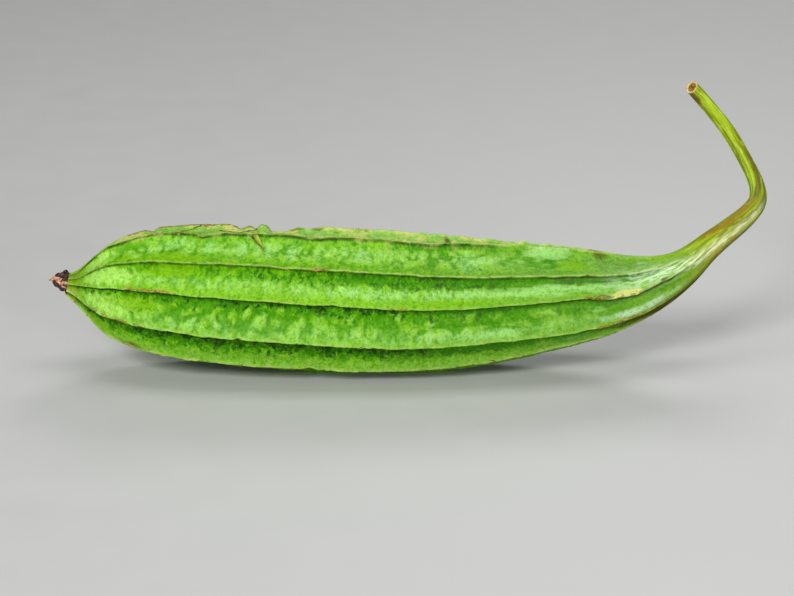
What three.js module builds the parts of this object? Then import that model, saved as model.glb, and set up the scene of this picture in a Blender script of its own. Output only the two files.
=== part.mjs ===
// A ridge gourd (Luffa acutangula), picked, lying on its side.
//
// The fruit is one body with ten sharp ridges that run from the blossom end to the neck. The
// ribbed stem grows out of the neck, bends up and away and ends in a cut, and the dried-up
// remains of the flower sit on the blossom end. These are the gourd's three pieces.
//
// Millimetres, +Z up. The origin is on the surface that the gourd lies on, at the middle of
// its bounding box. +X runs along the fruit to the neck, and +Y is the side that the stem
// bends towards.

import * as THREE from 'three';

// ---- driving dimensions ------------------------------------------------------------------

// Where the middle of the gourd goes, from the blossom end through the neck to the stem's cut
// end, and how thick it is there: x, y, z, radius out to the ridge tips, height of the ridges.
const STATIONS = [
  [-138.2, -26.0, 33.9, 4.9, 0.9],
  [-133.4, -26.0, 33.2, 7.6, 1.5],
  [-122.9, -27.0, 33.0, 19.9, 3.2],
  [-104.9, -30.0, 33.0, 26.5, 4.4],
  [-77.9, -32.0, 31.5, 29.1, 4.8],
  [-39.9, -32.5, 29.5, 29.1, 4.8],
  [-3.9, -32.5, 27.5, 28.7, 4.7],
  [29.1, -31.5, 28.0, 25.1, 4.4],
  [64.1, -30.5, 30.5, 20.8, 3.7],
  [86.6, -29.5, 32.0, 14.6, 2.6],
  [107.6, -26.5, 39.0, 7.5, 1.1],
  [117.1, -20.0, 47.0, 5.1, 0.6],
  [131.1, -10.0, 54.0, 4.4, 0.5],
  [142.1, 3.0, 59.0, 3.6, 0.5],
  [143.1, 18.0, 64.0, 3.1, 0.4],
  [139.1, 33.5, 70.5, 3.0, 0.4],
  [133.1, 47.5, 80.5, 3.0, 0.4],
  [117.6, 58.0, 96.5, 2.9, 0.3],
];

// The ten ridges: the angle round the fruit at the blossom end, in the middle and at the
// neck, from the side that faces -Y (0) up over the top (90), and how far the ridge reaches
// against the others. The gourd lies on the first and the last one.
const RIDGES = [
  { angles: [-85, -85, -88], reach: [0.8, 1.09, 1.0] },
  { angles: [-54, -52, -61], reach: [1.0, 1.0, 1.0] },
  { angles: [-15, -18, -40], reach: [1.0, 1.0, 1.0] },
  { angles: [21, 12, 19], reach: [1.0, 1.0, 1.0] },
  { angles: [48, 40, 50], reach: [1.0, 1.0, 1.0] },
  { angles: [74, 75, 94], reach: [1.0, 1.0, 1.0] },
  { angles: [122, 113, 110], reach: [1.0, 1.0, 1.0] },
  { angles: [164, 158, 155], reach: [1.0, 1.0, 1.0] },
  { angles: [207, 203, 196], reach: [1.02, 1.02, 1.0] },
  { angles: [246, 246, 241], reach: [1.2, 1.14, 1.03] },
];

const RIDGE_FLARE = 6.3; // degrees from a ridge's tip to where it has lost most of its height
const RIDGES_SETTLE_AT = 11; // the station where the ridges have taken their neck angles
const NECK_AT = 10.4; // where the fruit ends and the stem begins, counted in stations
const PIECE_GAP = 0.3; // between two pieces that touch
const FLOWER_LENGTH = 7.1;
const FLOWER_RADIUS = 5;
const FLOWER_TAPER = 0.75; // share of its cross-section's area that its far end has lost
const FLOWER_FOLDS = [{ count: 5, depth: 0.12 }, { count: 3, depth: 0.08 }];

// How finely the surfaces are divided.
const FRUIT_RINGS = 44;
const STEM_RINGS = 30;
const FLOWER_RINGS = 8;
const FLOWER_SIDES = 20;
const PANEL_STEPS = [0, 0.06, 0.17, 0.5, 0.83, 0.94]; // shares of the way from ridge to ridge
const RIB_STEPS = [0, 0.5];

const SKIN_GREEN = 0x7fa63a;
const STEM_GREEN = 0x9fae52;
const WITHERED_BROWN = 0x5c4334;

// ---- the axis and its frames -------------------------------------------------------------

// A uniform cubic B-spline through the first and last row, at row number u.
function splineAt(rows, u) {
  const last = rows.length - 1;
  const i = Math.min(Math.floor(u), last - 1);
  const f = u - i;
  const row = (k) => {
    if (k < 0) return rows[0].map((value, c) => 2 * value - rows[1][c]);
    if (k > last) return rows[last].map((value, c) => 2 * value - rows[last - 1][c]);
    return rows[k];
  };
  const weights = [
    (1 - f) ** 3 / 6,
    (3 * f ** 3 - 6 * f ** 2 + 4) / 6,
    (-3 * f ** 3 + 3 * f ** 2 + 3 * f + 1) / 6,
    f ** 3 / 6,
  ];
  return rows[i].map((_, c) => weights.reduce((sum, w, k) => sum + w * row(i - 1 + k)[c], 0));
}

// The axis point at u, with the two directions that span the cross-section there. `side`
// starts at -Y and is carried along the axis without twist.
function frameAlong(stops) {
  const step = 0.01;
  let side = new THREE.Vector3(0, -1, 0);
  return stops.map((u) => {
    const centre = new THREE.Vector3(...splineAt(STATIONS, u));
    const end = STATIONS.length - 1;
    const ahead = new THREE.Vector3(...splineAt(STATIONS, Math.min(u + step, end)));
    const behind = new THREE.Vector3(...splineAt(STATIONS, Math.max(u - step, 0)));
    const along = ahead.sub(behind).normalize();
    side = side.clone().addScaledVector(along, -side.dot(along)).normalize();
    const up = new THREE.Vector3().crossVectors(side, along);
    return { u, centre, side, up };
  });
}

// ---- the cross-section -------------------------------------------------------------------

function ridgesAt(u) {
  const place = Math.min(u / RIDGES_SETTLE_AT, 1) * 2;
  const blend = (values) => splineAt(values.map((value) => [value]), place)[0];
  return RIDGES.map(({ angles, reach }) => ({ angle: blend(angles), reach: blend(reach) }));
}

// One ring round the axis. The skin between two ridges lies a ridge height inside their tips
// and flares up to each of them.
function ringAt({ u, centre, side, up }, panelSteps) {
  const [, , , tipRadius, ridgeHeight] = splineAt(STATIONS, u);
  const ridges = ridgesAt(u);
  const points = [];
  ridges.forEach((ridge, k) => {
    const next = ridges[(k + 1) % ridges.length];
    const width = (next.angle - ridge.angle + 360) % 360;
    for (const share of panelSteps) {
      const fromRidge = Math.exp((-width * share) / RIDGE_FLARE);
      const fromNext = Math.exp((-width * (1 - share)) / RIDGE_FLARE);
      const eased = share * share * (3 - 2 * share);
      const reach = ridge.reach + (next.reach - ridge.reach) * eased;
      const radius = tipRadius * reach - ridgeHeight * (1 - fromRidge - fromNext);
      const angle = THREE.MathUtils.degToRad(ridge.angle + width * share);
      const point = centre.clone();
      point.addScaledVector(side, radius * Math.cos(angle));
      point.addScaledVector(up, radius * Math.sin(angle));
      point.z = Math.max(point.z, 0); // pressed flat where the gourd lies on it
      points.push(point);
    }
  });
  return points;
}

// ---- closed skins ------------------------------------------------------------------------

// A closed body through rings of equally many points, with a fan over each end.
function skinOver(rings) {
  const sides = rings[0].length;
  const middle = (ring) => {
    const sum = ring.reduce((total, point) => total.add(point), new THREE.Vector3());
    return sum.divideScalar(sides);
  };
  const points = [...rings.flat(), middle(rings[0]), middle(rings[rings.length - 1])];
  const start = points.length - 2;
  const finish = points.length - 1;
  const lastRing = (rings.length - 1) * sides;
  const index = [];
  for (let j = 0; j < sides; j += 1) {
    const next = (j + 1) % sides;
    for (let row = 0; row < lastRing; row += sides) {
      index.push(row + j, row + sides + next, row + next);
      index.push(row + j, row + sides + j, row + sides + next);
    }
    index.push(start, j, next);
    index.push(finish, lastRing + next, lastRing + j);
  }
  const geometry = new THREE.BufferGeometry().setFromPoints(points);
  geometry.setIndex(index);
  geometry.computeVertexNormals();
  return geometry;
}

function evenStops(from, to, count) {
  return Array.from({ length: count }, (_, i) => from + ((to - from) * i) / (count - 1));
}

function named(name, geometry, color, roughness) {
  const material = new THREE.MeshStandardMaterial({ color, roughness, metalness: 0 });
  const mesh = new THREE.Mesh(geometry, material);
  mesh.name = name;
  return mesh;
}

// ---- the pieces --------------------------------------------------------------------------

const wholeAxis = frameAlong([
  ...evenStops(0, NECK_AT, FRUIT_RINGS),
  ...evenStops(NECK_AT, STATIONS.length - 1, STEM_RINGS),
]);

function fruit() {
  const rings = wholeAxis.slice(0, FRUIT_RINGS).map((frame) => ringAt(frame, PANEL_STEPS));
  return named('ridged_fruit', skinOver(rings), SKIN_GREEN, 0.5);
}

// The ridges run on up the stem as shallow ribs.
function stem() {
  const frames = wholeAxis.slice(FRUIT_RINGS);
  const rings = frames.map((frame) => ringAt(frame, RIB_STEPS));
  const { side, up } = frames[0];
  const away = new THREE.Vector3().crossVectors(up, side).multiplyScalar(PIECE_GAP);
  rings[0].forEach((point) => point.add(away));
  return named('stem', skinOver(rings), STEM_GREEN, 0.45);
}

// The withered flower: a shrivelled lump with uneven folds, in line with the blossom end.
function driedFlower() {
  const { centre, side, up } = wholeAxis[0];
  const away = new THREE.Vector3().crossVectors(side, up);
  const rings = evenStops(1, 0, FLOWER_RINGS).map((share) => {
    const ring = [];
    for (let j = 0; j < FLOWER_SIDES; j += 1) {
      const angle = (2 * Math.PI * j) / FLOWER_SIDES;
      const taper = Math.sqrt(1 - FLOWER_TAPER * share ** 2);
      let radius = FLOWER_RADIUS * taper;
      for (const { count, depth } of FLOWER_FOLDS) {
        radius *= 1 + depth * Math.sin(count * angle + share);
      }
      const point = centre.clone().addScaledVector(away, PIECE_GAP + FLOWER_LENGTH * share);
      point.addScaledVector(side, -radius * Math.sin(angle));
      ring.push(point.addScaledVector(up, radius * Math.cos(angle)));
    }
    return ring;
  });
  return named('dried_flower', skinOver(rings), WITHERED_BROWN, 0.85);
}

const gourd = new THREE.Group();
gourd.name = 'ridge_gourd';
gourd.add(fruit(), stem(), driedFlower());

export default gourd;
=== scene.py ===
"""A ridge gourd (Luffa acutangula), picked, lying on its side on a pale floor.

The skin of the fruit and its stem is one grid, cut in two at the neck: rows follow the
gourd's axis, and columns go round it, twenty to each of the ten panels between two ridges.
The withered flower and a torn sliver of ridge are pieces of their own. Lengths are in
millimetres until a mesh is made, and metres from there on.
"""

from math import cos, pi, radians, sin

import bpy
import numpy as np
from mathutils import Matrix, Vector, noise


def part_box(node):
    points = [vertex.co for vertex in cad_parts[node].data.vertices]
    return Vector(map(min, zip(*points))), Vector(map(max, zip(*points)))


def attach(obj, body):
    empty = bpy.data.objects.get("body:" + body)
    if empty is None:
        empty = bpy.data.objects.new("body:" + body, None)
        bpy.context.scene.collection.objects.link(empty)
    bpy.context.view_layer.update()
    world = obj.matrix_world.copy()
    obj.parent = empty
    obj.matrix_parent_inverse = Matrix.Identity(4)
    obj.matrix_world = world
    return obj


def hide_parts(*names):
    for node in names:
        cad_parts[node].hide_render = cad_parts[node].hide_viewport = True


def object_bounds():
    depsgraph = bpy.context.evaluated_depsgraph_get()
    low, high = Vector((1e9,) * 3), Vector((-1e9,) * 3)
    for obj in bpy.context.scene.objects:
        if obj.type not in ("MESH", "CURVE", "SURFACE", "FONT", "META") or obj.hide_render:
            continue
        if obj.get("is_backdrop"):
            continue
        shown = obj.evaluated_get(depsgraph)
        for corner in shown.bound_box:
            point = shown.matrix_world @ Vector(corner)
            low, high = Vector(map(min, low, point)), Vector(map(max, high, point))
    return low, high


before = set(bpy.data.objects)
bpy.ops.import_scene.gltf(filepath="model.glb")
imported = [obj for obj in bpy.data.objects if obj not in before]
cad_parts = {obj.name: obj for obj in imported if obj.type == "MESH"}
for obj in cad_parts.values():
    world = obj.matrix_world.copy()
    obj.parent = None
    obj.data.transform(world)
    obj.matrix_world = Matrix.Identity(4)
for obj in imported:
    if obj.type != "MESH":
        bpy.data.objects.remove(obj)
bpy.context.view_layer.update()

MM = 0.001

# ---- driving dimensions, the same as the CAD model's ----

# The axis from the blossom end through the neck to the stem's cut end: x, y, z, radius out
# to the ridge tips, height of the ridges.
STATIONS = np.array([
    [-138.2, -26, 33.9, 4.9, 0.9], [-133.4, -26, 33.2, 7.6, 1.5],
    [-122.9, -27, 33, 19.9, 3.2], [-104.9, -30, 33, 26.5, 4.4],
    [-77.9, -32, 31.5, 29.1, 4.8], [-39.9, -32.5, 29.5, 29.1, 4.8],
    [-3.9, -32.5, 27.5, 28.7, 4.7], [29.1, -31.5, 28, 25.1, 4.4],
    [64.1, -30.5, 30.5, 20.8, 3.7], [86.6, -29.5, 32, 14.6, 2.6],
    [107.6, -26.5, 39, 7.5, 1.1], [117.1, -20, 47, 5.1, 0.6],
    [131.1, -10, 54, 4.4, 0.5], [142.1, 3, 59, 3.6, 0.5],
    [143.1, 18, 64, 3.1, 0.4], [139.1, 33.5, 70.5, 3, 0.4],
    [133.1, 47.5, 80.5, 3, 0.4], [117.6, 58, 96.5, 2.9, 0.3],
])

# Each ridge's angle round the fruit at the blossom end, in the middle and at the neck, from
# the side that faces -Y (0) up over the top (90), then how far it reaches at those places.
# Ridges count from 0 in this order, and a panel has the number of the ridge that it starts at.
RIDGES = np.array([
    [[-85, -85, -88], [0.8, 1.09, 1]], [[-54, -52, -61], [1, 1, 1]],
    [[-15, -18, -40], [1, 1, 1]], [[21, 12, 19], [1, 1, 1]],
    [[48, 40, 50], [1, 1, 1]], [[74, 75, 94], [1, 1, 1]],
    [[122, 113, 110], [1, 1, 1]], [[164, 158, 155], [1, 1, 1]],
    [[207, 203, 196], [1.02, 1.02, 1]], [[246, 246, 241], [1.2, 1.14, 1.03]],
])
RIDGE_FLARE = radians(6.3)  # from a ridge's tip to where most of its height is lost
RIDGES_SETTLE_AT = 11  # the station where the ridges have taken their neck angles
NECK_AT = 10.4  # where the fruit ends and the stem begins, counted in stations

# ---- the skin's finer shape ----

FRUIT_ROWS = 470
STEM_ROWS = 200
PANEL_SHARES = np.array([
    0, 0.02, 0.045, 0.08, 0.12, 0.17, 0.23, 0.295, 0.36, 0.43,
    0.5, 0.57, 0.64, 0.705, 0.77, 0.83, 0.88, 0.92, 0.955, 0.98,
])
RIDGE_COUNT = len(RIDGES)
NUMBERS = np.arange(RIDGE_COUNT)
COLUMNS = RIDGE_COUNT * len(PANEL_SHARES)
FULL_RADIUS = 29  # of the fruit where it is thickest
CREST_ROUNDING = 0.3
RIB_SPREAD = 3  # how much wider the stem's ribs are, for their height
RIDGE_SAG = 0.65  # how much steeper the lower side of a ridge is
RIDGE_LEAN = 1.6  # how far a ridge's tip hangs over its foot
PANEL_BULGE = 0.7
WRINKLE_HEIGHT = 0.75
# How strongly the panel above each ridge is wrinkled.
PANEL_WRINKLES = np.array([0.6, 0.55, 1, 0.4, 0.75, 0.4, 0.7, 0.9, 0.6, 0.6])

# How unsteady the ridges are: size in mm, length along x, step from ridge to ridge, and seed.
STRAY_NOISE = ((0.3, 19, 7.3, 0), (0.4, 6.5, 3.1, 5), (0.15, 1.8, 2.3, 15))
# How far each ridge strays from its smooth line, up at the front, at every 30 mm from x = -120.
RIDGE_STRAY = np.array([
    [0] * 8,
    [0, 0, 0, -0.6, -0.7, -0.4, 0, 0],
    [0, 0.3, 0, 0.3, 0.8, 1.2, 0.4, -0.3],
    [0, 0, 0, -0.4, -0.8, -1, -0.4, -1],
    [-0.8, 0, 0, -0.3, -0.6, -1.3, -1.2, -0.6],
    [0] * 8,
    [0] * 8,
    [0, 1, 0.6, -0.5, -0.8, 0.3, 0.9, 0],
    [0.5, 0.9, 0, -0.8, -0.4, 0.6, 0.8, 0.3],
    [0] * 8,
])
# Two ridges wander more: x, and how far the ridge strays there.
LOCAL_STRAY = {
    3: [[69, 0], [77, -1.2], [88, -1.2], [96, -0.1], [103, 0]],
    5: [
        [-121, -1], [-113, -0.6], [-105, 1.2], [-94, 1.1], [-86, -0.7], [-84, -2.4],
        [-79, -0.4], [-75, 0.9], [-69, 0], [-57, 1.2], [-49, 1], [-41, -0.7], [-37, -0.7],
        [-31, 1], [-25, 1.6], [-17, 0.9], [-5, -0.2], [3, -0.8], [15, 0.6], [27, 1.9],
        [35, 2.2], [45, 2], [60, 1], [68, 0.4], [75, 0.8], [91, -1.2], [120, -1],
    ],
}

# The row that each ridge has in the next two tables: the far side is like the front.
SHADED_LIKE = [0, 0, 0, 1, 2, 3, 3, 2, 1, 0]
# How deep the dark green below each ridge is, partly painted shade, at five even places along the fruit.
SHADE_DEPTHS = np.array([
    [0.85, 1, 1, 1, 0.8], [0.6, 0.75, 0.85, 0.85, 0.4], [0.12, 0.3, 0.6, 0.95, 0.3],
    [0.3, 0.45, 0.5, 0.5, 0.4],
])[SHADED_LIKE]
# How far up the panel below each ridge its dark green and painted shade start and are full, and how much
# that strays.
SHADE_REACH = np.array([[0.12, 0.62], [0.3, 0.85], [0.42, 0.64], [0.78, 0.98]])[SHADED_LIKE]
SHADE_STRAY = 0.13
# How pale each ridge's crest is, partly painted highlight, at five even places along the fruit.
CREST_PALENESS_AND_HIGHLIGHT = np.array([
    [0.4] * 5, [1, 1, 0.9, 0.7, 0.4], [0.9, 0.9, 0.7, 0.7, 0.8],
    [0.4, 0.3, 0.4, 0.5, 0.6], [0.6, 0.3, 0.8, 0.7, 1], [0.5, 0.4, 0.5, 0.4, 0.3],
    [1, 0.7, 0.9, 0.8, 0.4], [0.6, 0.3, 0.8, 0.7, 0.9], [0.4, 0.3, 0.4, 0.5, 0.6],
    [0.9, 0.9, 0.7, 0.7, 0.8],
])
CREST_WIDTHS = np.array([0.45, 0.9, 0.5, 0.45, 0.4, 0.4, 1, 0.4, 0.45, 0.5])  # in mm
# The thin painted shadow line under each ridge: how dark, how wide, and how far along the axis it ends.
RIDGE_SHADOW_LINE = np.array([
    [1, 1.2, 260], [1, 1.2, 260], [1, 1.9, 260], [1, 1.3, 252], [0.85, 0.6, 240],
    [1, 0.6, 178], [1, 0.6, 190], [0.85, 0.6, 240], [1, 1.3, 252], [1, 1.9, 260],
])
# The pale bloom on each panel, partly wax bloom and partly painted sheen: how far up it lies, its half
# width and strength, and how dark the green is under it, next to the lower ridge.
PANEL_BLOOM_AND_SHEEN = np.array([
    [0.3, 0.2, 0.1, 0.1], [0.15, 0.2, 0.3, 0.1], [0.2, 0.2, 0.9, 0.1],
    [0.36, 0.17, 0.9, 0.15], [0.55, 0.26, 0.9, 0.32], [0.4, 0.9, 0.8, 0],
    [0.55, 0.26, 0.9, 0.32], [0.36, 0.17, 0.9, 0.15], [0.2, 0.2, 0.9, 0.1],
    [0.15, 0.2, 0.2, 0.1],
])

# Corky brown scars on the ridges: ridge, x from and to, strength, reach to each side in mm.
SCARS = (
    (6, -117, -56, 0.9, 1.7), (6, -30, -20, 0.5, 0.9), (6, 5, 60, 0.4, 0.8), (6, 72, 78, 0.9, 1.6),
    (5, -103, -84, 0.7, 0.9), (4, -52, -45, 0.4, 0.7), (4, -41, -33, 0.9, 1.3),
    (3, -110, -93, 0.9, 1.2), (3, -11, -1, 0.7, 1.1), (3, 67, 76, 0.9, 1.5), (3, 76, 96, 0.5, 1.3),
    (2, -129, -102, 0.8, 1.2), (2, 23, 31, 0.4, 0.8), (2, 71, 89, 0.8, 1),
    (1, -120, -90, 0.5, 1), (8, -60, -40, 0.7, 1.2), (7, 10, 30, 0.6, 1),
)
# Places where a ridge has been nicked: ridge, x in the middle, half width, share of it lost.
NICKS = (
    (6, -106.2, 1.8, 0.3), (6, -21.4, 0.8, 0.12), (6, -12, 34, -0.2), (6, 18, 16, -0.14),
    (6, 15.6, 1.5, 0.16), (6, 46.5, 0.8, -0.24), (6, 56, 0.7, -0.2), (4, -51.4, 2, 0.25),
    (3, -31.4, 2.4, 0.3), (2, -67.4, 1.3, 0.2), (2, 29.6, 2.4, 0.08), (1, -39.4, 2, 0.2),
    (1, 58, 17, 0.16), (0, 58, 17, 0.16), (7, -19.4, 2.5, 0.3), (8, 35.6, 2, 0.3),
)
# The long tear in one ridge: the share of its height lost at each x.
TORN_RIDGE = 6
TEAR = np.array([
    [-75.2, 0], [-72.4, 0.16], [-70.6, 0.3], [-69.6, 0.28], [-66.8, 0.05], [-65.2, 0.2],
    [-64.2, 0.28], [-62.4, -0.04], [-60, -0.02], [-58.2, 0.4], [-52.2, 0.45], [-47.6, 0.1],
    [-43.6, 0.22], [-39, 0],
])

# The dark slit along a ridge at the neck: ridge, x from and to.
SLIT = (3, 88, 100)
# Streaks along the neck and the stem: half width in degrees, the distances along the axis
# where they fade in and out, and the distance and angle of each point.
STREAKS = {
    "brown": (22, (256, 270, 318, 336), (
        (245, 92), (259, 80), (271, 70), (280, 64), (294, 72), (304, 66), (313, 55), (326, 48),
        (335, 40),
    )),
    # Painted highlight from the neck up the stem.
    "gleam": (20, (205, 245, 288, 304), (
        (200, 24), (225, 32), (240, 36), (248, 32), (254, 16), (264, 4), (277, -3), (294, -2),
    )),
    # The stem's underside, partly brown and partly painted shade.
    "brown_and_shaded_underside": (24, (215, 240, 305, 325), (
        (205, -44), (235, -50), (262, -52), (290, -56), (318, -60),
    )),
    # Painted highlight on the stem past its bend.
    "painted_stem_highlight": (30, (296, 312, 358, 372), (
        (296, 112), (310, 106), (326, 100), (339, 98), (349, 74), (365, 64),
    )),
    "ochre": (15, (240, 252, 270, 286), ((240, -30), (256, -26), (270, -26), (285, -30))),
}
# Marks on the skin, each kind laid over those before it: its colour, and for each mark the
# distance along the axis, the place in the ring of ridges, the half length and half width in
# those same units, and the strength.
MARKS = {
    # Deep green, partly painted shade under the ridges.
    "deep_green_and_shade": ((52, 126, 0), (
        (66, 4.9, 14, 0.08, 0.5), (150, 4.92, 28, 0.08, 0.8), (194, 4.5, 3, 0.3, 0.8),
        (122, 3.8, 26, 0.17, 0.8), (172, 3.84, 34, 0.15, 0.85), (40, 2.84, 12, 0.16, 0.6),
        (165, 2.88, 40, 0.12, 0.9), (160, 2.46, 27, 0.06, 0.8), (212, 2.76, 12, 0.08, 0.9),
        (200, 1.7, 20, 0.3, 0.9), (168, 1.7, 28, 0.3, 1),
    )),
    # Pale patches, partly painted highlight.
    "pale_and_highlight": ((162, 214, 92), (
        (14, 4.45, 9, 0.5, 1), (106, 4.55, 4, 0.3, 0.6), (19, 3.5, 14, 0.46, 1.1),
        (110, 3.46, 2, 0.1, 1), (20, 2.4, 14, 0.36, 1),
    )),
    # Mint patches, partly painted sheen.
    "mint_and_sheen": ((146, 200, 108), (
        (45, 4.72, 9, 0.24, 0.55), (58, 4.6, 2.2, 0.3, 0.75), (70, 4.55, 2.4, 0.32, 0.75),
        (81, 4.5, 3.2, 0.32, 0.65), (90, 4.5, 2.2, 0.4, 0.75), (118, 4.5, 5, 0.32, 0.7),
        (162, 4.5, 9, 0.4, 0.7), (193, 4.86, 11, 0.2, 1), (120, 3.38, 26, 0.2, 0.6),
        (166, 3.43, 34, 0.16, 0.75), (192, 3.42, 22, 0.26, 0.85), (213, 3.5, 12, 0.26, 0.75),
        (165, 2.2, 32, 0.13, 0.7), (212, 2.56, 5, 0.1, 0.7), (205, 1.3, 9, 0.2, 0.5),
    )),
    "olive": ((112, 168, 0), (
        (5, 4.5, 7, 0.5, 0.7), (26, 4.3, 7, 0.2, 0.7), (47, 4.2, 14, 0.2, 0.9),
        (204, 4.42, 9, 0.32, 0.9), (4, 3.5, 6, 0.5, 0.7), (45, 3.72, 14, 0.26, 0.95),
        (152, 3.15, 26, 0.055, 1), (30, 2.55, 16, 0.3, 0.8), (15, 1.3, 11, 0.3, 0.7),
    )),
    "fresh": ((84, 152, 0), ((29, 4.75, 6, 0.26, 1), (60, 4.3, 8, 0.14, 0.7))),
    "dull": ((100, 144, 54), ((224, 4.6, 17, 0.45, 0.9),)),
    "tan": ((202, 198, 110), (
        (213, 5, 4, 0.06, 0.7), (3, 2.3, 4, 0.25, 0.6), (84, 2.98, 8, 0.045, 0.8),
        (217, 3.06, 6, 0.1, 1.1), (224, 3.1, 6, 0.19, 1.2), (22, 5.66, 12, 0.42, 0.95),
        (140, 5.64, 105, 0.5, 0.5), (86, 5.86, 9, 0.18, 0.7), (36.5, 4.97, 5, 0.05, 0.8),
        (64.6, 5.85, 5, 0.25, 0.9), (54, 5.95, 12, 0.12, 0.8), (72, 5.9, 4, 0.16, 0.8),
        (83, 5.92, 5, 0.14, 0.8), (108, 5.97, 10, 0.1, 0.8), (132, 5.97, 14, 0.09, 0.75),
        (163, 5.94, 9, 0.12, 0.8),
    )),
    "umber": ((66, 58, 2), (
        (215, 4.92, 4.5, 0.13, 0.9), (66, 3.98, 3, 0.04, 0.7), (71, 1.94, 3.5, 0.09, 0.9),
        (107, 3.5, 0.8, 0.12, 0.75), (104, 3.55, 0.7, 0.1, 0.7), (80, 3.98, 4, 0.04, 0.7),
        (42, 2.93, 7, 0.07, 0.9), (150, 1.96, 40, 0.05, 0.8), (213.5, 3.06, 3.5, 0.12, 1.1),
        (239, 3.1, 1.4, 0.14, 1.3), (231, 2.02, 18, 0.07, 1), (34, 1.93, 26, 0.06, 0.85),
        (14, 1.9, 4, 0.1, 1.3), (30, 1.05, 8, 0.1, 0.9), (236, 1.5, 26, 0.6, 1),
        (25.3, 5, 1.4, 0.08, 1), (44.4, 5.02, 2.4, 0.1, 1), (91, 5.96, 4, 0.08, 0.9),
        (99, 5.96, 3, 0.07, 0.9), (119, 5.97, 1.2, 0.06, 0.9), (153.2, 5.8, 1.6, 0.2, 0.85),
    )),
    # Painted sheen and glints.
    "sheen": ((176, 210, 160), (
        (182.4, 5.97, 1.5, 0.1, 1), (193, 5.97, 14, 0.08, 0.7), (232, 4.7, 4, 0.16, 0.5),
        (218, 3.5, 8, 0.12, 0.5), (236, 3.6, 6, 0.2, 0.75), (231, 2.22, 21, 0.16, 0.85),
    )),
}
STREAKY_MARKS = ("tan", "umber", "sheen", "dull")
# The marks' like on the far side lie this much farther along, and are this strong.
FAR_SIDE_SHIFT = 9
FAR_SIDE_SHARE = 0.9
# Cracks above ridge 5: distance along the axis and place in the ring of ridges at each corner.
CRACKS = (
    ((44.4, 5.62), (47.4, 5.7), (52, 5.98)),
    ((60, 5.74), (64, 5.66), (68, 5.62), (71.5, 5.72), (75, 5.96)),
)
# How much the cut through the stem is turned to the front, and over what length.
CUT_SLANT = 0.9
CUT_SLANT_LENGTH = 9
CUT_RINGS = (0.97, 0.9, 0.78, 0.62, 0.45, 0.25)  # shares of the way out from the cut's middle

# The torn sliver of ridge: x, place in the ring of ridges, lift off the skin, and width.
TORN_STRIP = (
    (-65.2, 5.2, -0.2, 3.8), (-64.4, 5.05, 0.5, 3.5), (-63.2, 4.9, 0.9, 2.8),
    (-61.6, 4.75, 0.9, 1.9), (-59.6, 4.6, 0.3, 0.5),
)
# The withered flower's curled strips: the angle where each leaves the clump, its length and
# width, how far it lifts off, how far it turns sideways, and how dry it is.
FLOWER_STRIPS = (
    (-74, 8.2, 3, 1.4, 0.9, 1), (-25, 5.6, 2.8, 1.4, 0.5, 0.1), (15, 4.8, 2.8, 1.8, -0.6, 0),
    (60, 5.6, 2.4, 1, 0.8, 0.1), (105, 6.2, 2.4, 0.8, -0.5, 0.2), (150, 5.8, 2.6, 0.5, 0.4, 0.6),
    (195, 5, 2.4, 0.4, -0.6, 0.05), (232, 6, 2.4, 0.6, 0.5, 0.2),
    (266, 5.6, 3, 1, 0.3, 0.9),
)
STRIP_STEPS = 16
STRIP_START = 3.1  # how far out a strip leaves the clump
RIBBON_TURNS = np.linspace(0, 2 * pi, 8, endpoint=False)

# ---- light and camera, in metres ----

# Name, place, the point it shines at, width and height, and power.
SOFT_LIGHTS = (
    ("key", (-0.9, -2, 1.44), (0, -0.03, 0.03), (1, 0.8), 64),
    ("top", (0, 0, 1), (0, -0.03, 0.03), (0.9, 0.4), 3.6),
    ("low", (1.2, -2, 0.44), (0.02, -0.03, 0.03), (0.6, 0.6), 15),
    ("back", (0.5, 2, 1.5), (0, -0.03, 0.03), (1, 0.8), 15),
)
CAMERA_AIM = (-0.0061, -0.031, -0.0194)  # from the middle of the gourd's box
CAMERA_DISTANCE = 1.072
CAMERA_ELEVATION = radians(18)


# ---- the skin's grid ----


def spline(rows, u):
    """A uniform cubic B-spline through the first and last row, at each row number in u."""
    rows = np.asarray(rows, float)
    ends = 2 * rows[0] - rows[1], 2 * rows[-1] - rows[-2]
    padded = np.vstack([ends[0], rows, ends[1]])
    first = np.minimum(u.astype(int), len(rows) - 2)
    f = (u - first)[:, None]
    weights = (
        (1 - f) ** 3 / 6,
        (3 * f**3 - 6 * f**2 + 4) / 6,
        (-3 * f**3 + 3 * f**2 + 3 * f + 1) / 6,
        f**3 / 6,
    )
    return sum(weight * padded[first + k] for k, weight in enumerate(weights))


def unit(vectors):
    return vectors / np.linalg.norm(vectors, axis=-1, keepdims=True)


def even_stops(start, end, count):
    """Row numbers from start to end that lie the same distance apart along the axis."""
    fine = np.linspace(start, end, 2000)
    steps = np.linalg.norm(np.diff(spline(STATIONS[:, :3], fine), axis=0), axis=1)
    travelled = np.concatenate([[0], np.cumsum(steps)])
    return np.interp(np.linspace(0, travelled[-1], count), travelled, fine)


def carry_frames(centres):
    """The two directions across the axis at each centre, carried along it without twist."""
    along = unit(np.gradient(centres, axis=0))
    sides = np.zeros_like(along)
    side = np.array([0.0, -1.0, 0.0])
    for i, tangent in enumerate(along):
        side = unit(side - tangent * (side @ tangent))
        sides[i] = side
    return sides, np.cross(sides, along)


def smooth_noise(x, y, z):
    """Smooth noise from about -1 to 1 over cells one unit wide."""
    x, y, z = np.broadcast_arrays(x, y, z)
    flat = np.column_stack([x.ravel(), y.ravel(), z.ravel()])
    return np.array([noise.noise(point) for point in flat]).reshape(x.shape)


def ease(share):
    """A share from 0 to 1, held there, that starts and stops gently."""
    share = np.clip(share, 0, 1)
    return share * share * (3 - 2 * share)


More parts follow.
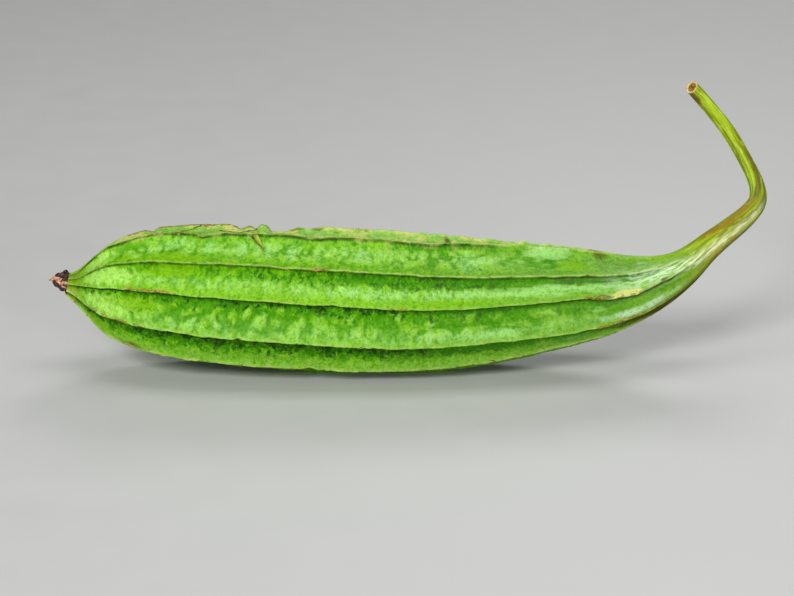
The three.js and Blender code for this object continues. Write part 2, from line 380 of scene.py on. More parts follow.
def step(values, none, full):
    """0 as far as none and 1 from full on, whichever of the two is larger."""
    return ease((values - none) / (full - none))


def window(values, start, full, full_end, end):
    """0 outside start to end, 1 from full to full_end, with gentle ramps between."""
    return ease(np.minimum((values - start) / (full - start), (end - values) / (end - full_end)))


def peak(distance, reach):
    """1 at no distance, falling away like a bell over the reach."""
    return np.exp(-((distance / reach) ** 2))


class Skin:
    """The grid of the fruit and stem, with what the materials need to know at each point.

    `u` is a row's place among the stations, `along` its distance from the blossom end along
    the axis, and `share` a column's share of the way from the ridge below to the one above.
    """

    def __init__(self):
        fruit = even_stops(0, NECK_AT, FRUIT_ROWS)
        stem = even_stops(NECK_AT, len(STATIONS) - 1, STEM_ROWS)
        rows = np.concatenate([fruit, stem[1:]])
        station = spline(STATIONS, rows)
        self.u = rows[:, None]
        self.centres = station[:, :3]
        self.x = station[:, :1]
        self.radius, self.height = station[:, 3:4], station[:, 4:5]
        self.fullness = self.height / self.height.max()
        self.side, self.up = carry_frames(self.centres)
        steps = np.linalg.norm(np.diff(self.centres, axis=0), axis=1)
        self.along = np.concatenate([[0], np.cumsum(steps)])[:, None]
        self.below = np.repeat(NUMBERS, len(PANEL_SHARES))
        self.above = (self.below + 1) % RIDGE_COUNT
        self.share = np.tile(PANEL_SHARES, RIDGE_COUNT)
        self.around = self.below + self.share
        self.on_body = window(self.u, 0, 1.5, 9, NECK_AT)
        self.on_fruit = step(self.u, 11.0, 9.4)
        self.shape()
        fields = {**self.panel_fields(), **self.ridge_fields(), **self.place_fields()}
        self.fields = {
            name: np.broadcast_to(values, self.theta.shape) for name, values in fields.items()
        }
        self.slant_cut()
        self.close_cut()

    def ridge_rows(self, kind):
        """Each ridge's smooth angle in degrees (kind 0) or its reach (kind 1) at every row."""
        return spline(RIDGES[:, kind].T, (np.clip(self.u / RIDGES_SETTLE_AT, 0, 1) * 2)[:, 0])

    def over_fruit(self, table):
        """A table's values for five even places along the fruit, at every row."""
        return spline(table.T, (np.clip(self.u / NECK_AT, 0, 1) * 4)[:, 0])

    def ridge_angles(self):
        """Each ridge's angle at every row, straying from its smooth line."""
        stray = spline(RIDGE_STRAY.T, np.clip((self.x[:, 0] + 120) / 30, 0, 7))
        for ridge, places in LOCAL_STRAY.items():
            stray[:, ridge] += np.interp(self.x[:, 0], *np.transpose(places))
        for size, cell, ridge_step, seed in STRAY_NOISE:
            stray = stray + size * smooth_noise(self.x / cell, NUMBERS * ridge_step, seed)
        return np.radians(self.ridge_rows(0)) + self.on_body * stray / self.radius

    def ridge_tips(self):
        """How high each ridge stands, against the height at its station."""
        uneven = 0.08 * smooth_noise(self.x / 6, NUMBERS * 5.7, 9)
        uneven = uneven + 0.05 * smooth_noise(self.x / 1.6, NUMBERS * 1.9, 2)
        tips = 1 + self.on_body * uneven
        ragged = 1 + 0.5 * smooth_noise(self.x / 1.4, NUMBERS * 1.3, 37)
        for ridge, middle, half_width, lost in NICKS:
            tips[:, ridge] -= lost * ragged[:, ridge] * peak(self.x[:, 0] - middle, half_width)
        tips[:, TORN_RIDGE] -= ragged[:, TORN_RIDGE] * np.interp(self.x[:, 0], *TEAR.T)
        return tips

    def fin(self, distance, flare):
        """The share of a ridge's height left at a distance from its rounded tip."""
        size = np.maximum(self.radius / FULL_RADIUS, 0.6 - 0.2 * self.radius / 4)
        rounding = CREST_ROUNDING * size
        return np.exp(-(np.sqrt(distance**2 + rounding**2) - rounding) / flare)

    def shape(self):
        """Puts every point of the grid in its place."""
        angle, tips, reach = self.ridge_angles(), self.ridge_tips(), self.ridge_rows(1)
        below, above, share = self.below, self.above, self.share
        start = angle[:, below]
        end = angle[:, above] + np.where(above == 0, 2 * pi, 0)
        theta = start + (end - start) * share
        self.facing = np.cos((start + end) / 2)
        self.from_start = (theta - start) * self.radius
        self.from_end = (end - theta) * self.radius
        flare = RIDGE_FLARE * self.radius * (1 + RIB_SPREAD * step(self.u, 9.6, 11.6))
        rise = flare * (1 + RIDGE_SAG * np.cos(start))
        drop = flare * (1 - RIDGE_SAG * np.cos(end))
        fin_start = self.fin(self.from_start, rise) * tips[:, below]
        fin_end = self.fin(self.from_end, drop) * tips[:, above]
        reached = reach[:, below] + (reach[:, above] - reach[:, below]) * ease(share)
        out = self.radius * reached - self.height * (1 - fin_start - fin_end)
        lean = RIDGE_LEAN * self.height / self.height.max() / self.radius
        lean = lean * (np.cos(start) + (np.cos(end) - np.cos(start)) * share)
        self.theta = theta + lean * (1 - np.minimum(fin_start + fin_end, 1))
        in_panel = np.sin(pi * share)
        self.wrinkle = self.lumps() * self.roughness() * in_panel
        out += self.fullness * PANEL_BULGE * in_panel + WRINKLE_HEIGHT * self.wrinkle
        across = np.cos(self.theta)[..., None] * self.side[:, None]
        direction = across + np.sin(self.theta)[..., None] * self.up[:, None]
        self.points = self.centres[:, None] + out[..., None] * direction
        self.points[..., 2] = np.maximum(self.points[..., 2], 0)

    def roughness(self):
        """How strongly each point is wrinkled."""
        rough = window(self.u, 0.8, 2.6, 7.5, 9.6) * PANEL_WRINKLES[self.below]
        return rough * (0.8 + 0.5 * smooth_noise(self.x / 25, self.below * 4.1, 31))

    def lumps(self):
        """Lumps from about -1 in the creases to 1, drawn out near the neck."""
        x = self.x - 0.65 * (np.sqrt((self.x - 10) ** 2 + 225) + self.x - 10) / 2
        arc = self.theta * self.radius
        warp = 1.6 * smooth_noise(x / 6, arc / 6, 3.3)
        broad = smooth_noise((x + warp) / 4.4, (arc + warp) / 5.5, 11.4)
        small = smooth_noise(x / 2.2, arc / 3, 23.7)
        return 3.0 * np.sqrt(broad**2 + 0.012) + 1.2 * np.sqrt(small**2 + 0.012) - 1.25

    def panel_fields(self):
        """What changes from the foot of each panel up to the ridge over it: the dark green with painted
        shade, the painted shadow line, and the bloom with painted sheen.
        """
        front = self.facing > 0
        climb = np.where(front, self.share, 1 - self.share)
        upper = np.where(front, self.above, self.below)
        from_upper = np.where(front, self.from_end, self.from_start)
        depth = np.take_along_axis(self.over_fruit(SHADE_DEPTHS), upper, 1)
        steep = np.clip(3 * np.abs(self.facing), 0, 1)
        shade_from, shade_to = np.moveaxis(SHADE_REACH[upper], -1, 0)
        painted_shadow_line, shadow_line_width, shadow_line_end = np.moveaxis(RIDGE_SHADOW_LINE[upper], -1, 0)
        painted_shadow_line = painted_shadow_line * window(self.along, -15, 12, shadow_line_end - 10, shadow_line_end)
        middle, half_width, strength, low_green = PANEL_BLOOM_AND_SHEEN[self.below].T
        return {
            # The dark green under the ridge, partly painted shade.
            "shade_and_mottle": (climb - shade_from) / (shade_to - shade_from),
            "stray": SHADE_STRAY / (shade_to - shade_from),
            "depth": depth * steep * self.on_fruit,
            "low": low_green * step(climb, 0.32, 0.05) * self.on_fruit,
            # The painted shadow line under the ridge.
            "painted_shadow_line": painted_shadow_line * window(from_upper, 0.1, 0.4, 0.4 + 0.4 * shadow_line_width, 0.6 + shadow_line_width),
            # The pale bloom, partly painted sheen.
            "bloom_and_sheen": strength * peak(climb - middle, half_width) * self.fullness,
        }

    def ridge_fields(self):
        """What lies on the ridges: pale crests, partly painted highlight, corky scars and the slit at
        the neck.
        """
        paleness = self.over_fruit(CREST_PALENESS_AND_HIGHLIGHT)
        split, first, last = SLIT
        in_slit = window(self.x, first, first + 4, last - 2, last)
        pale_crest_and_highlight, scar, slit = (np.zeros_like(self.theta) for _ in range(3))
        for ridge, distance in ((self.below, self.from_start), (self.above, self.from_end)):
            # Pale crests, partly painted highlight.
            pale_crest_and_highlight = np.maximum(pale_crest_and_highlight, paleness[:, ridge] * peak(distance, CREST_WIDTHS[ridge]))
            slit = np.maximum(slit, in_slit * peak(distance, 0.35) * (ridge == split))
            for scarred, first, last, amount, spread in SCARS:
                worn = amount * window(self.x, first - 2, first + 2, last - 2, last + 2)
                scar = np.maximum(scar, worn * (peak(distance, spread) * (ridge == scarred)))
        return {"pale_crest_and_highlight": pale_crest_and_highlight * self.on_fruit, "scar": scar, "slit": slit}

    def place_fields(self):
        """Where each point is on the skin, and how it wears the ends, marks and streaks, some of which
        are painted shade, sheen and highlight.
        """
        fields = {
            "wrinkle": self.wrinkle,
            "stemness": step(self.u, 9.3, 11.4),
            "withered_tip": step(self.along, 352, 366) * peak(self.theta - 2.4, 0.9),
            "tip_of_fruit": step(self.along, 9, 1.5),
            "cut": 0.0,
            "along": self.along,
            "arc": self.theta * self.radius,
            "around": self.around,
        }
        for kind, (_, places) in MARKS.items():
            fields[kind] = self.marks(places)
        for kind, (half_width, ends, path) in STREAKS.items():
            fields[kind] = self.streak(half_width, ends, path)
        return fields

    def marks(self, places):
        """How strongly each point wears marks, and their like on the far side."""
        worn = np.zeros_like(self.theta)
        for along, around, half_length, half_width, strength in places:
            far_side = (RIDGE_COUNT + 1 - around, along + FAR_SIDE_SHIFT, FAR_SIDE_SHARE)
            for place, start, share in ((around, along, 1), far_side):
                ahead = (self.along - start) / half_length
                across = (self.around - place + 5) % RIDGE_COUNT - 5
                far = ahead**2 + (across / half_width) ** 2
                worn = np.maximum(worn, share * strength * np.exp(-(far**1.5)))
        return worn

    def streak(self, half_width, ends, path):
        """A streak along the skin that follows a path of distances and angles."""
        middle = np.radians(np.interp(self.along, *np.transpose(path)))
        across = (self.theta - middle + pi) % (2 * pi) - pi
        return peak(across, radians(half_width)) * window(self.along, *ends)

    def slant_cut(self):
        """Turns the cut end of the stem so that its face looks partly to the front."""
        tangent = unit(self.centres[-1] - self.centres[-2])
        front = np.array([-0.3, -1.0, 0.2])
        front = unit(front - tangent * (front @ tangent))
        last = self.along[-1]
        share = step(self.along, last - CUT_SLANT_LENGTH, last)
        ahead = (self.points - self.centres[:, None]) @ front
        self.points -= (CUT_SLANT * share * (ahead + 2))[..., None] * tangent

    def close_cut(self):
        """Adds rings that close the cut end, with a sunken pith."""
        rim = self.points[-1]
        self.cut_middle = rim.mean(axis=0)
        inward = unit(self.centres[-2] - self.centres[-1])
        angle = np.linspace(0, 2 * pi, COLUMNS, endpoint=False)
        rings = []
        for share in CUT_RINGS:
            rough = 0.12 * smooth_noise(3 * np.cos(angle), 3 * np.sin(angle), 4 * share)
            sunk = 0.5 * (1 - share) ** 0.5 * (share < 0.75) + rough
            rings.append(self.cut_middle + (rim - self.cut_middle) * share + sunk[:, None] * inward)
        self.points = np.concatenate([self.points, np.array(rings)])
        self.cut_middle = self.cut_middle + 0.5 * inward
        for name, values in self.fields.items():
            added = np.repeat(values[-1:], len(CUT_RINGS), axis=0)
            self.fields[name] = np.concatenate([values, added])
        self.fields["cut"][-len(CUT_RINGS):] = 2 - np.array(CUT_RINGS)[:, None]

    def at(self, x, around, lift):
        """A point on the skin at x along the fruit and a place round it, lifted off it."""
        row = np.argmin(np.abs(self.centres[:FRUIT_ROWS, 0] - x))
        ring = np.vstack([self.points[row], self.points[row, :1]])
        places = np.append(self.around, RIDGE_COUNT)
        point = np.array([np.interp(around, places, ring[:, axis]) for axis in range(3)])
        return point + lift * unit(point - self.centres[row])

    def normals(self):
        across = np.roll(self.points, -1, axis=1) - np.roll(self.points, 1, axis=1)
        along = np.gradient(self.points, axis=0)
        return unit(np.cross(along, across))


def mesh_object(name, points, faces, material, fields, normals=None):
    """A smooth mesh object from points in millimetres, with a float attribute per field."""
    mesh = bpy.data.meshes.new(name)
    mesh.from_pydata((np.asarray(points) * MM).tolist(), [], faces)
    mesh.materials.append(material)
    mesh.shade_smooth()
    if normals is not None:
        mesh.normals_split_custom_set_from_vertices(normals.tolist())
    for field, values in fields.items():
        layer = mesh.attributes.new(field, "FLOAT", "POINT")
        layer.data.foreach_set("value", np.asarray(values, np.float32).ravel())
    piece = bpy.data.objects.new(name, mesh)
    bpy.context.collection.objects.link(piece)
    return piece


def grid_faces(rows, columns):
    """Quads over a grid that closes on itself sideways, facing away from its axis."""
    faces = []
    for i in range(rows - 1):
        row, ahead = i * columns, (i + 1) * columns
        for j in range(columns):
            k = (j + 1) % columns
            faces.append((row + j, ahead + j, ahead + k, row + k))
    return faces


def closed_faces(rows, columns):
    """The same with a flat face over each end."""
    total = rows * columns
    ends = [tuple(range(columns)), tuple(reversed(range(total - columns, total)))]
    return grid_faces(rows, columns) + ends


def skin_piece(skin, name, first, last, ends, material):
    """The rows first to last of the skin as a body closed by a fan round each end point."""
    part = slice(first, last + 1)
    points = skin.points[part].reshape(-1, 3)
    faces = grid_faces(last + 1 - first, COLUMNS)
    start, finish = len(points), len(points) + 1
    bottom = start - COLUMNS
    for j in range(COLUMNS):
        k = (j + 1) % COLUMNS
        faces.append((start, j, k))
        faces.append((finish, bottom + k, bottom + j))
    fields = {}
    for field, values in skin.fields.items():
        fields[field] = np.append(values[part].ravel(), [values[first, 0], values[last, 0]])
    backward = unit(skin.centres[first] - skin.centres[first + 4])
    forward = unit(ends[1] - skin.centres[min(last, len(skin.centres) - 1) - 8])
    normals = np.vstack([skin.normals()[part].reshape(-1, 3), backward, forward])
    return mesh_object(name, np.vstack([points, *ends]), faces, material, fields, normals)


def ribbon(path, faces_to, widths, thickness):
    """A closed flat strip along a path: its points and faces."""
    path, faces_to = np.array(path), unit(np.array(faces_to))
    tangents = unit(np.gradient(path, axis=0))
    across = unit(np.cross(tangents, faces_to))
    half = np.array(widths)[:, None, None] / 2
    rings = path[:, None] + half * np.cos(RIBBON_TURNS)[None, :, None] * across[:, None]
    rings = rings + thickness / 2 * np.sin(RIBBON_TURNS)[None, :, None] * faces_to[:, None]
    return rings.reshape(-1, 3), closed_faces(len(path), len(RIBBON_TURNS))


# ---- materials ----


class Shade:
    """Short calls for a material's nodes. Each returns an output socket."""

    def __init__(self, name):
        self.material = bpy.data.materials.new(name)
        self.material.use_nodes = True
        self.tree = self.material.node_tree
        self.bsdf = self.tree.nodes["Principled BSDF"]

    def node(self, kind, inputs, **settings):
        """A node whose inputs are each linked to a socket, or set to a value or a colour."""
        made = self.tree.nodes.new("ShaderNode" + kind)
        for key, value in settings.items():
            setattr(made, key, value)
        for key, value in inputs.items():
            if isinstance(value, bpy.types.NodeSocket):
                self.tree.links.new(value, made.inputs[key])
            else:
                made.inputs[key].default_value = rgb(*value) if isinstance(value, tuple) else value
        return made

    def field(self, name):
        return self.node("Attribute", {}, attribute_name=name).outputs["Fac"]

    def place(self):
        return self.node("TexCoord", {}).outputs["Object"]

    def vector(self, x, y, z=0.0):
        return self.node("CombineXYZ", {"X": x, "Y": y, "Z": z}).outputs[0]

    def noise(self, vector, scale, detail, roughness=0.55, distortion=0.0):
        inputs = {
            "Vector": vector, "Scale": scale, "Detail": detail,
            "Roughness": roughness, "Distortion": distortion,
        }
        return self.node("TexNoise", inputs).outputs["Fac"]

    def spread(self, value, low, high, to_low=0.0, to_high=1.0):
        """The value's way from low to high, eased, as a way from to_low to to_high."""
        inputs = {"Value": value, "From Min": low, "From Max": high, "To Min": to_low, "To Max": to_high}
        return self.node("MapRange", inputs, interpolation_type="SMOOTHSTEP").outputs[0]

    def mix(self, share, first, second):
        """From the first colour to the second as share goes from 0 to 1."""
        made = self.node("Mix", {0: share, 6: first, 7: second}, data_type="RGBA")
        return made.outputs[2]

    def blend(self, share, first, second):
        """From the first value to the second as share goes from 0 to 1."""
        return self.plus(first, self.times(share, self.maths("SUBTRACT", second, first)))

    def maths(self, operation, *values):
        """A sum, product or the like of two or more values."""
        result = values[0]
        for value in values[1:]:
            made = self.node("Math", {0: result, 1: value}, operation=operation)
            result = made.outputs[0]
        return result

    def times(self, *values):
        return self.maths("MULTIPLY", *values)

    def plus(self, *values):
        return self.maths("ADD", *values)

    def largest(self, *values):
        return self.maths("MAXIMUM", *values)

    def ramp(self, value, *stops):
        """A colour ramp: each stop is a position and a colour."""
        made = self.node("ValToRGB", {0: value})
        elements = made.color_ramp.elements
        while len(elements) < len(stops):
            elements.new(1.0)
        for element, (position, color) in zip(elements, stops):
            element.position = position
            element.color = rgb(*color)
        return made.outputs["Color"]

    def bump(self, height, distance, strength, normal=None):
        inputs = {"Height": height, "Distance": distance, "Strength": strength}
        if normal is not None:
            inputs["Normal"] = normal
        return self.node("Bump", inputs).outputs["Normal"]

    def finish(self, color, roughness, normal):
        for name, socket in (("Base Color", color), ("Roughness", roughness), ("Normal", normal)):
            self.tree.links.new(socket, self.bsdf.inputs[name])
        return self.material


def rgb(*screen):
    """A linear colour from 0 to 255 screen values."""
    shares = [value / 255 for value in screen]
    linear = [s / 12.92 if s <= 0.04045 else ((s + 0.055) / 1.055) ** 2.4 for s in shares]
    return (*linear, 1.0)


class SkinShade(Shade):
    """The layers of the gourd's skin, shared by the fruit and the stem."""

    def __init__(self, name):
        super().__init__(name)
        self.spot = self.place()
        self.along, self.arc = self.field("along"), self.field("arc")
        self.around = self.field("around")
        self.clouds = self.noise(self.spot, 120, 3)
        self.speckle = self.noise(self.spot, 900, 3, 0.65)
        self.neckward = self.spread(self.along, 140, 215)
        lumpy, drawn_out = self.stretched(0.5, 0.3, 5, 3, 0.5), self.banded(0.09, 5, 5)
        self.blotch = self.blend(self.neckward, lumpy, drawn_out)
        self.cork = self.stretched(0.4, 0.9, 2, 5, 0.6)
        self.patchy = self.banded(0.16, 3, 4)
        self.combed = self.stretched(0.55, 0.13, 8, 2, 0.3)
        self.stemness = self.field("stemness")
        self.shade_and_mottle = self.painted_shade_and_mottle()

    def stretched(self, along, arc, seed, detail, distortion):
        """Noise over the skin, with its own scale along the fruit and round it."""
        where = self.vector(self.times(self.along, along), self.times(self.arc, arc), seed)
        return self.noise(where, 1.0, detail, 0.6, distortion)

    def banded(self, along, around, detail):
        """Noise that follows the ridges."""
        where = self.vector(self.times(self.along, along), self.times(self.around, around))
        return self.noise(where, 1.0, detail)

    def painted_shade_and_mottle(self):
        """How far the green has turned dark, from 0 on the upper flank of each ridge: painted shade
        under the ridges, partly the skin's darker green, with a random mottle.
        """
        lobes = self.stretched(0.34, 0.2, 0, 4, 0.6)
        loose = self.times(self.field("stray"), self.spread(lobes, 0.3, 0.7, -1, 1))
        shade_and_mottle = self.times(self.spread(self.plus(self.field("shade_and_mottle"), loose), 0, 1), self.field("depth"))
        shade_and_mottle = self.largest(shade_and_mottle, self.field("low"))
        shade_and_mottle = self.plus(shade_and_mottle, self.spread(self.clouds, 0.3, 0.7, -0.1, 0.12))
        lumpy, drawn_out = self.stretched(0.5, 0.32, 12, 4, 0.8), self.banded(0.045, 4.5, 5)
        mottle = self.blend(self.neckward, lumpy, drawn_out)
        return self.plus(shade_and_mottle, self.spread(mottle, 0.34, 0.66, -0.26, 0.32))

    def lay(self, share, tint):
        """Lays a colour over the skin, from not at all to fully as share goes from 0 to 1."""
        self.color = self.mix(share, self.color, tint)

    def greens(self):
        """Fresh green to dark green as the painted shade and mottle deepen, and duller towards the neck.
        """
        self.color = self.ramp(
            self.shade_and_mottle, (0.0, (124, 180, 34)), (0.3, (108, 170, 4)), (0.6, (78, 146, 0)),
            (0.85, (42, 104, 0)), (1.0, (14, 58, 0)),
        )
        self.lay(self.spread(self.along, 110, 200, 0, 0.42), (94, 134, 50))

    def marks(self):
        """The marks of each kind, ragged at their edges."""
        for kind, (tint, _) in MARKS.items():
            breaking = self.patchy if kind in STREAKY_MARKS else self.blotch
            worn = self.plus(self.field(kind), self.spread(breaking, 0.3, 0.7, -0.28, 0.28))
            self.lay(self.spread(worn, 0.25, 0.95, 0, 0.9), tint)

    def bloom_and_sheen(self):
        """The blotchy pale bloom along the middle of each panel, partly wax bloom and partly painted
        sheen.
        """
        streaked = self.plus(self.times(self.blotch, 0.55), self.times(self.combed, 0.45))
        blotchy = self.spread(streaked, 0.4, 0.6, 0.1, 1.0)
        self.lay(self.times(self.field("bloom_and_sheen"), blotchy), (150, 204, 104))

    def lumps(self):
        """Painted highlight on the lumps' tops, less of it in the painted shade, and painted shade in
        the creases.
        """
        wrinkle = self.field("wrinkle")
        in_light = self.spread(self.shade_and_mottle, 1.0, 0.6, 0.15, 1.0)
        # Painted highlight on the lump tops, then painted shade in the creases.
        painted_lump_highlight = self.times(self.spread(wrinkle, 0.2, 0.8, 0, 0.6), in_light)
        self.lay(painted_lump_highlight, (150, 208, 84))
        self.lay(self.spread(wrinkle, 0.08, -0.4, 0, 0.8), (58, 132, 0))

    def speckles(self):
        self.lay(self.spread(self.speckle, 0.5, 0.34, 0, 0.44), (44, 104, 0))
        self.lay(self.spread(self.speckle, 0.5, 0.66, 0, 0.16), (156, 212, 84))

    def tip(self):
        """The duller green next to the withered flower."""
        self.lay(self.times(self.field("tip_of_fruit"), 0.6), (104, 120, 24))

    def ridge_edges(self):
        """A painted shadow line under each ridge, a pale crest on it, partly painted highlight, with
        corky bits, and the slit.
        """
        # A painted shadow line under each ridge.
        painted_shadow_line = self.times(self.field("painted_shadow_line"), self.spread(self.patchy, 0.4, 0.65, 1.0, 0.6))
        self.lay(painted_shadow_line, (8, 28, 0))
        # Pale crests, partly painted highlight.
        pale_crest_and_highlight = self.field("pale_crest_and_highlight")
        pale_and_highlight = self.mix(self.spread(self.cork, 0.4, 0.6), (164, 208, 104), (200, 204, 112))
        self.lay(self.times(pale_crest_and_highlight, self.spread(self.patchy, 0.4, 0.6, 0.35, 1.0)), pale_and_highlight)
        bits = self.times(self.spread(self.cork, 0.58, 0.66), self.spread(pale_crest_and_highlight, 0.1, 0.4))
        self.lay(self.times(bits, 0.8), (70, 62, 4))
        self.lay(self.times(self.field("slit"), 0.95), (16, 20, 0))

    def stem(self):
        """Yellow-green with olive patches, a painted highlight past the bend, a brown streak, and an
        underside that is partly brown and partly painted shade.
        """
        patches = self.spread(self.banded(0.05, 2.2, 4), 0.35, 0.65)
        fresh = self.mix(patches, (112, 130, 0), (158, 180, 8))
        olive = self.spread(self.banded(0.035, 1.1, 4), 0.47, 0.64, 0, 0.85)
        fresh = self.mix(olive, fresh, (104, 104, 0))
        spots = self.spread(self.banded(0.16, 1.6, 3), 0.52, 0.68)
        fresh = self.mix(self.times(spots, 0.5), fresh, (196, 222, 84))
        rough = self.spread(self.banded(0.12, 3, 4), 0.36, 0.6, 0.35, 1.0)
        broken = self.spread(self.banded(0.07, 1.2, 4), 0.4, 0.6, 0.2, 0.9)
        # A painted highlight on the stem past its bend.
        painted_stem_highlight = self.times(self.spread(self.field("painted_stem_highlight"), 0.2, 0.9), broken, 0.6)
        fresh = self.mix(painted_stem_highlight, fresh, (184, 218, 64))
        fresh = self.mix(self.times(self.field("ochre"), rough, 0.9), fresh, (156, 136, 8))
        rough = self.largest(rough, 0.7)
        streak = self.times(self.spread(self.field("brown"), 0.1, 0.8), rough, 0.9)
        brown = self.mix(self.spread(self.along, 286, 300), (142, 106, 2), (92, 82, 0))
        self.lay(self.stemness, self.mix(streak, fresh, brown))
        # The underside, partly brown and partly painted shade.
        brown_and_shaded_underside = self.times(self.spread(self.field("brown_and_shaded_underside"), 0.2, 0.9), rough)
        self.lay(brown_and_shaded_underside, (72, 66, 0))

    def gleam(self):
        """A painted highlight that runs from the neck up the stem."""
        mottled = self.spread(self.banded(0.2, 5, 4), 0.4, 0.58, 0.1, 1.0)
        mottled = self.largest(mottled, self.times(self.stemness, 0.42))
        tint = self.mix(self.stemness, (208, 236, 190), (242, 240, 190))
        self.lay(self.times(self.field("gleam"), mottled, 0.85), tint)

    def scars(self):
        """Cork, from nearly black to pale tan, that breaks up towards the scars' edges."""
        broken = self.plus(self.field("scar"), self.spread(self.cork, 0.3, 0.7, -0.45, 0.45))
        corky = self.ramp(
            self.cork, (0.3, (34, 26, 0)), (0.46, (84, 74, 8)), (0.58, (140, 136, 50)),
            (0.72, (186, 182, 116)),
        )
        self.lay(self.spread(broken, 0.45, 0.68, 0, 0.92), corky)

    def crack(self, start, end):
        """A thin crooked line across the skin between two places."""
        crooked = self.spread(self.noise(self.spot, 260, 3), 0.3, 0.7, -0.06, 0.06)
        run = self.times(self.plus(self.along, -start[0]), 1 / (end[0] - start[0]))
        middle = self.plus(self.times(run, end[1] - start[1]), start[1], crooked)
        across = self.maths("ABSOLUTE", self.maths("SUBTRACT", self.around, middle), 0.0)
        inside = self.times(self.spread(run, -0.06, 0.02), self.spread(run, 1.06, 0.98))
        return self.times(self.spread(across, 0.055, 0.02), inside)

    def cracks(self):
        steps = (pair for path in CRACKS for pair in zip(path, path[1:]))
        cracked = self.largest(*(self.crack(start, end) for start, end in steps))
        self.lay(self.times(cracked, 0.9), (46, 34, 2))

    def cut_face(self):
        """Pale wood round an ochre pith, and brown skin beside the cut."""
        depth = self.field("cut")
        wood = self.noise(self.spot, 900, 3)
        rim = self.mix(self.spread(wood, 0.3, 0.7), (196, 160, 108), (236, 218, 176))
        pith = self.mix(self.spread(wood, 0.3, 0.7), (104, 70, 12), (168, 130, 40))
        face = self.mix(self.spread(self.plus(depth, self.times(wood, 0.3)), 1.4, 1.5), rim, pith)
        withered = self.plus(self.field("withered_tip"), self.spread(self.patchy, 0.3, 0.7, -0.4, 0.3))
        self.lay(self.spread(withered, 0.4, 0.8, 0, 0.85), (92, 66, 22))
        self.lay(self.spread(depth, 0.6, 0.9), face)


def skin_material(name, gloss):
    shade = SkinShade(name)
    layers = (
        shade.greens, shade.bloom_and_sheen, shade.lumps, shade.marks, shade.speckles, shade.tip,
        shade.ridge_edges, shade.stem, shade.gleam, shade.scars, shade.cracks, shade.cut_face,
    )
    for layer in layers:
        layer()
    normal = shade.bump(shade.speckle, 0.0003, 0.4)
    normal = shade.bump(shade.blotch, 0.0008, 0.6, normal)
    roughness = shade.spread(shade.clouds, 0.3, 0.7, 0.46, 0.6)
    shade.bsdf.inputs["Specular IOR Level"].default_value = gloss
    return shade.finish(shade.color, roughness, normal)


def flower_material():
    """Dark crumpled brown, with the dry strips paler."""
    shade = Shade("withered_flower")
    crumple = shade.noise(shade.place(), 800, 5)
    color = shade.mix(shade.spread(crumple, 0.35, 0.7), (26, 12, 12), (84, 52, 46))
    dry = shade.mix(shade.spread(crumple, 0.3, 0.7), (130, 82, 56), (226, 176, 136))
    color = shade.mix(shade.field("dry"), color, dry)
    normal = shade.bump(crumple, 0.001, 0.8)
    return shade.finish(color, shade.spread(crumple, 0.3, 0.7, 0.7, 0.95), normal)


def torn_strip_material():
    """Olive green, from dark brown along one edge to pale yellow along the other."""
    shade = Shade("torn_skin")
    fibres = shade.noise(shade.place(), 700, 3)
    across = shade.plus(shade.times(shade.field("edge"), 0.5), fibres)
    color = shade.ramp(
        across, (0.1, (44, 40, 0)), (0.35, (92, 112, 4)), (0.65, (128, 158, 8)),
        (0.95, (176, 188, 48)),
    )
    normal = shade.bump(fibres, 0.0005, 0.5)
    return shade.finish(color, shade.spread(fibres, 0.3, 0.7, 0.5, 0.7), normal)


def floor_material():
    shade = Shade("pale_floor")
    grain = shade.noise(shade.place(), 40, 3)
    color = shade.mix(grain, (186, 186, 184), (192, 192, 190))
    return shade.finish(color, shade.spread(grain, 0, 1, 0.5, 0.6), shade.bump(grain, 0.0005, 0.1))


# ---- the pieces ----


def flower_clump(low, high):
    """The crumpled heart of the withered flower."""
    middle = (low + high) / 2
    rows, columns = 56, 72
    angle = np.linspace(0, 2 * pi, columns, endpoint=False)[None, :]
    share = np.linspace(0, 1, rows)[:, None]
    swell = 0.82 + 0.5 * np.sin(pi * share**0.8) - 0.55 * share**2
    out = 0.7 * (high[1] - low[1]) / 2 * swell
    away = share * (high[0] - low[0])
    across, up = np.sin(angle), np.cos(angle)
    folds = np.abs(smooth_noise(1.6 * across, 1.6 * up, away / 3))
    creases = np.abs(smooth_noise(4 * across, 4 * up, away / 1.3))
    out = out * (0.8 + 0.55 * folds + 0.3 * creases)
    x = high[0] + 0.8 - away * 0.9 + 0.5 * smooth_noise(3 * across, 3 * up, 7)
    y = middle[1] + out * across
    z = middle[2] + 0.2 + 1.6 * share + out * np.where(up < 0, 0.8, 1.0) * up
    points = np.stack(np.broadcast_arrays(x, y, z), axis=-1)[::-1]
    return points.reshape(-1, 3), closed_faces(rows, columns)


def flower_strip(low, high, angle, length, width, lift, turn, seed):
    """One shrivelled strip that leaves the clump at an angle and curls."""
    middle = (low + high) / 2
    path, faces_to, widths = [], [], []
    for i in range(STRIP_STEPS):
        share = i / (STRIP_STEPS - 1)
        bearing = radians(angle) + turn * share**2
        jitter = Vector((share * 3, seed * 1.7, 0.3))
        out = STRIP_START + lift * sin(1.3 * pi * share) - 2.2 * share**2
        out += 0.7 * noise.noise(jitter)
        twist = 1.2 * noise.noise(jitter * 0.7)
        radial = np.array([0.0, sin(bearing), cos(bearing)])
        sideways = np.array([0.0, cos(bearing), -sin(bearing)])
        spine = np.array([high[0] + 0.2 - length * share, middle[1], middle[2] + 0.2 + 1.8 * share])
        backward = np.array([-0.3 * share, 0, 0])
        path.append(spine + out * radial)
        faces_to.append(radial * cos(twist) + sideways * sin(twist) + backward)
        widths.append(width * (1 - 0.75 * share**2) * (1 + 0.4 * noise.noise(jitter * 2)))
    return ribbon(path, faces_to, widths, 0.45)


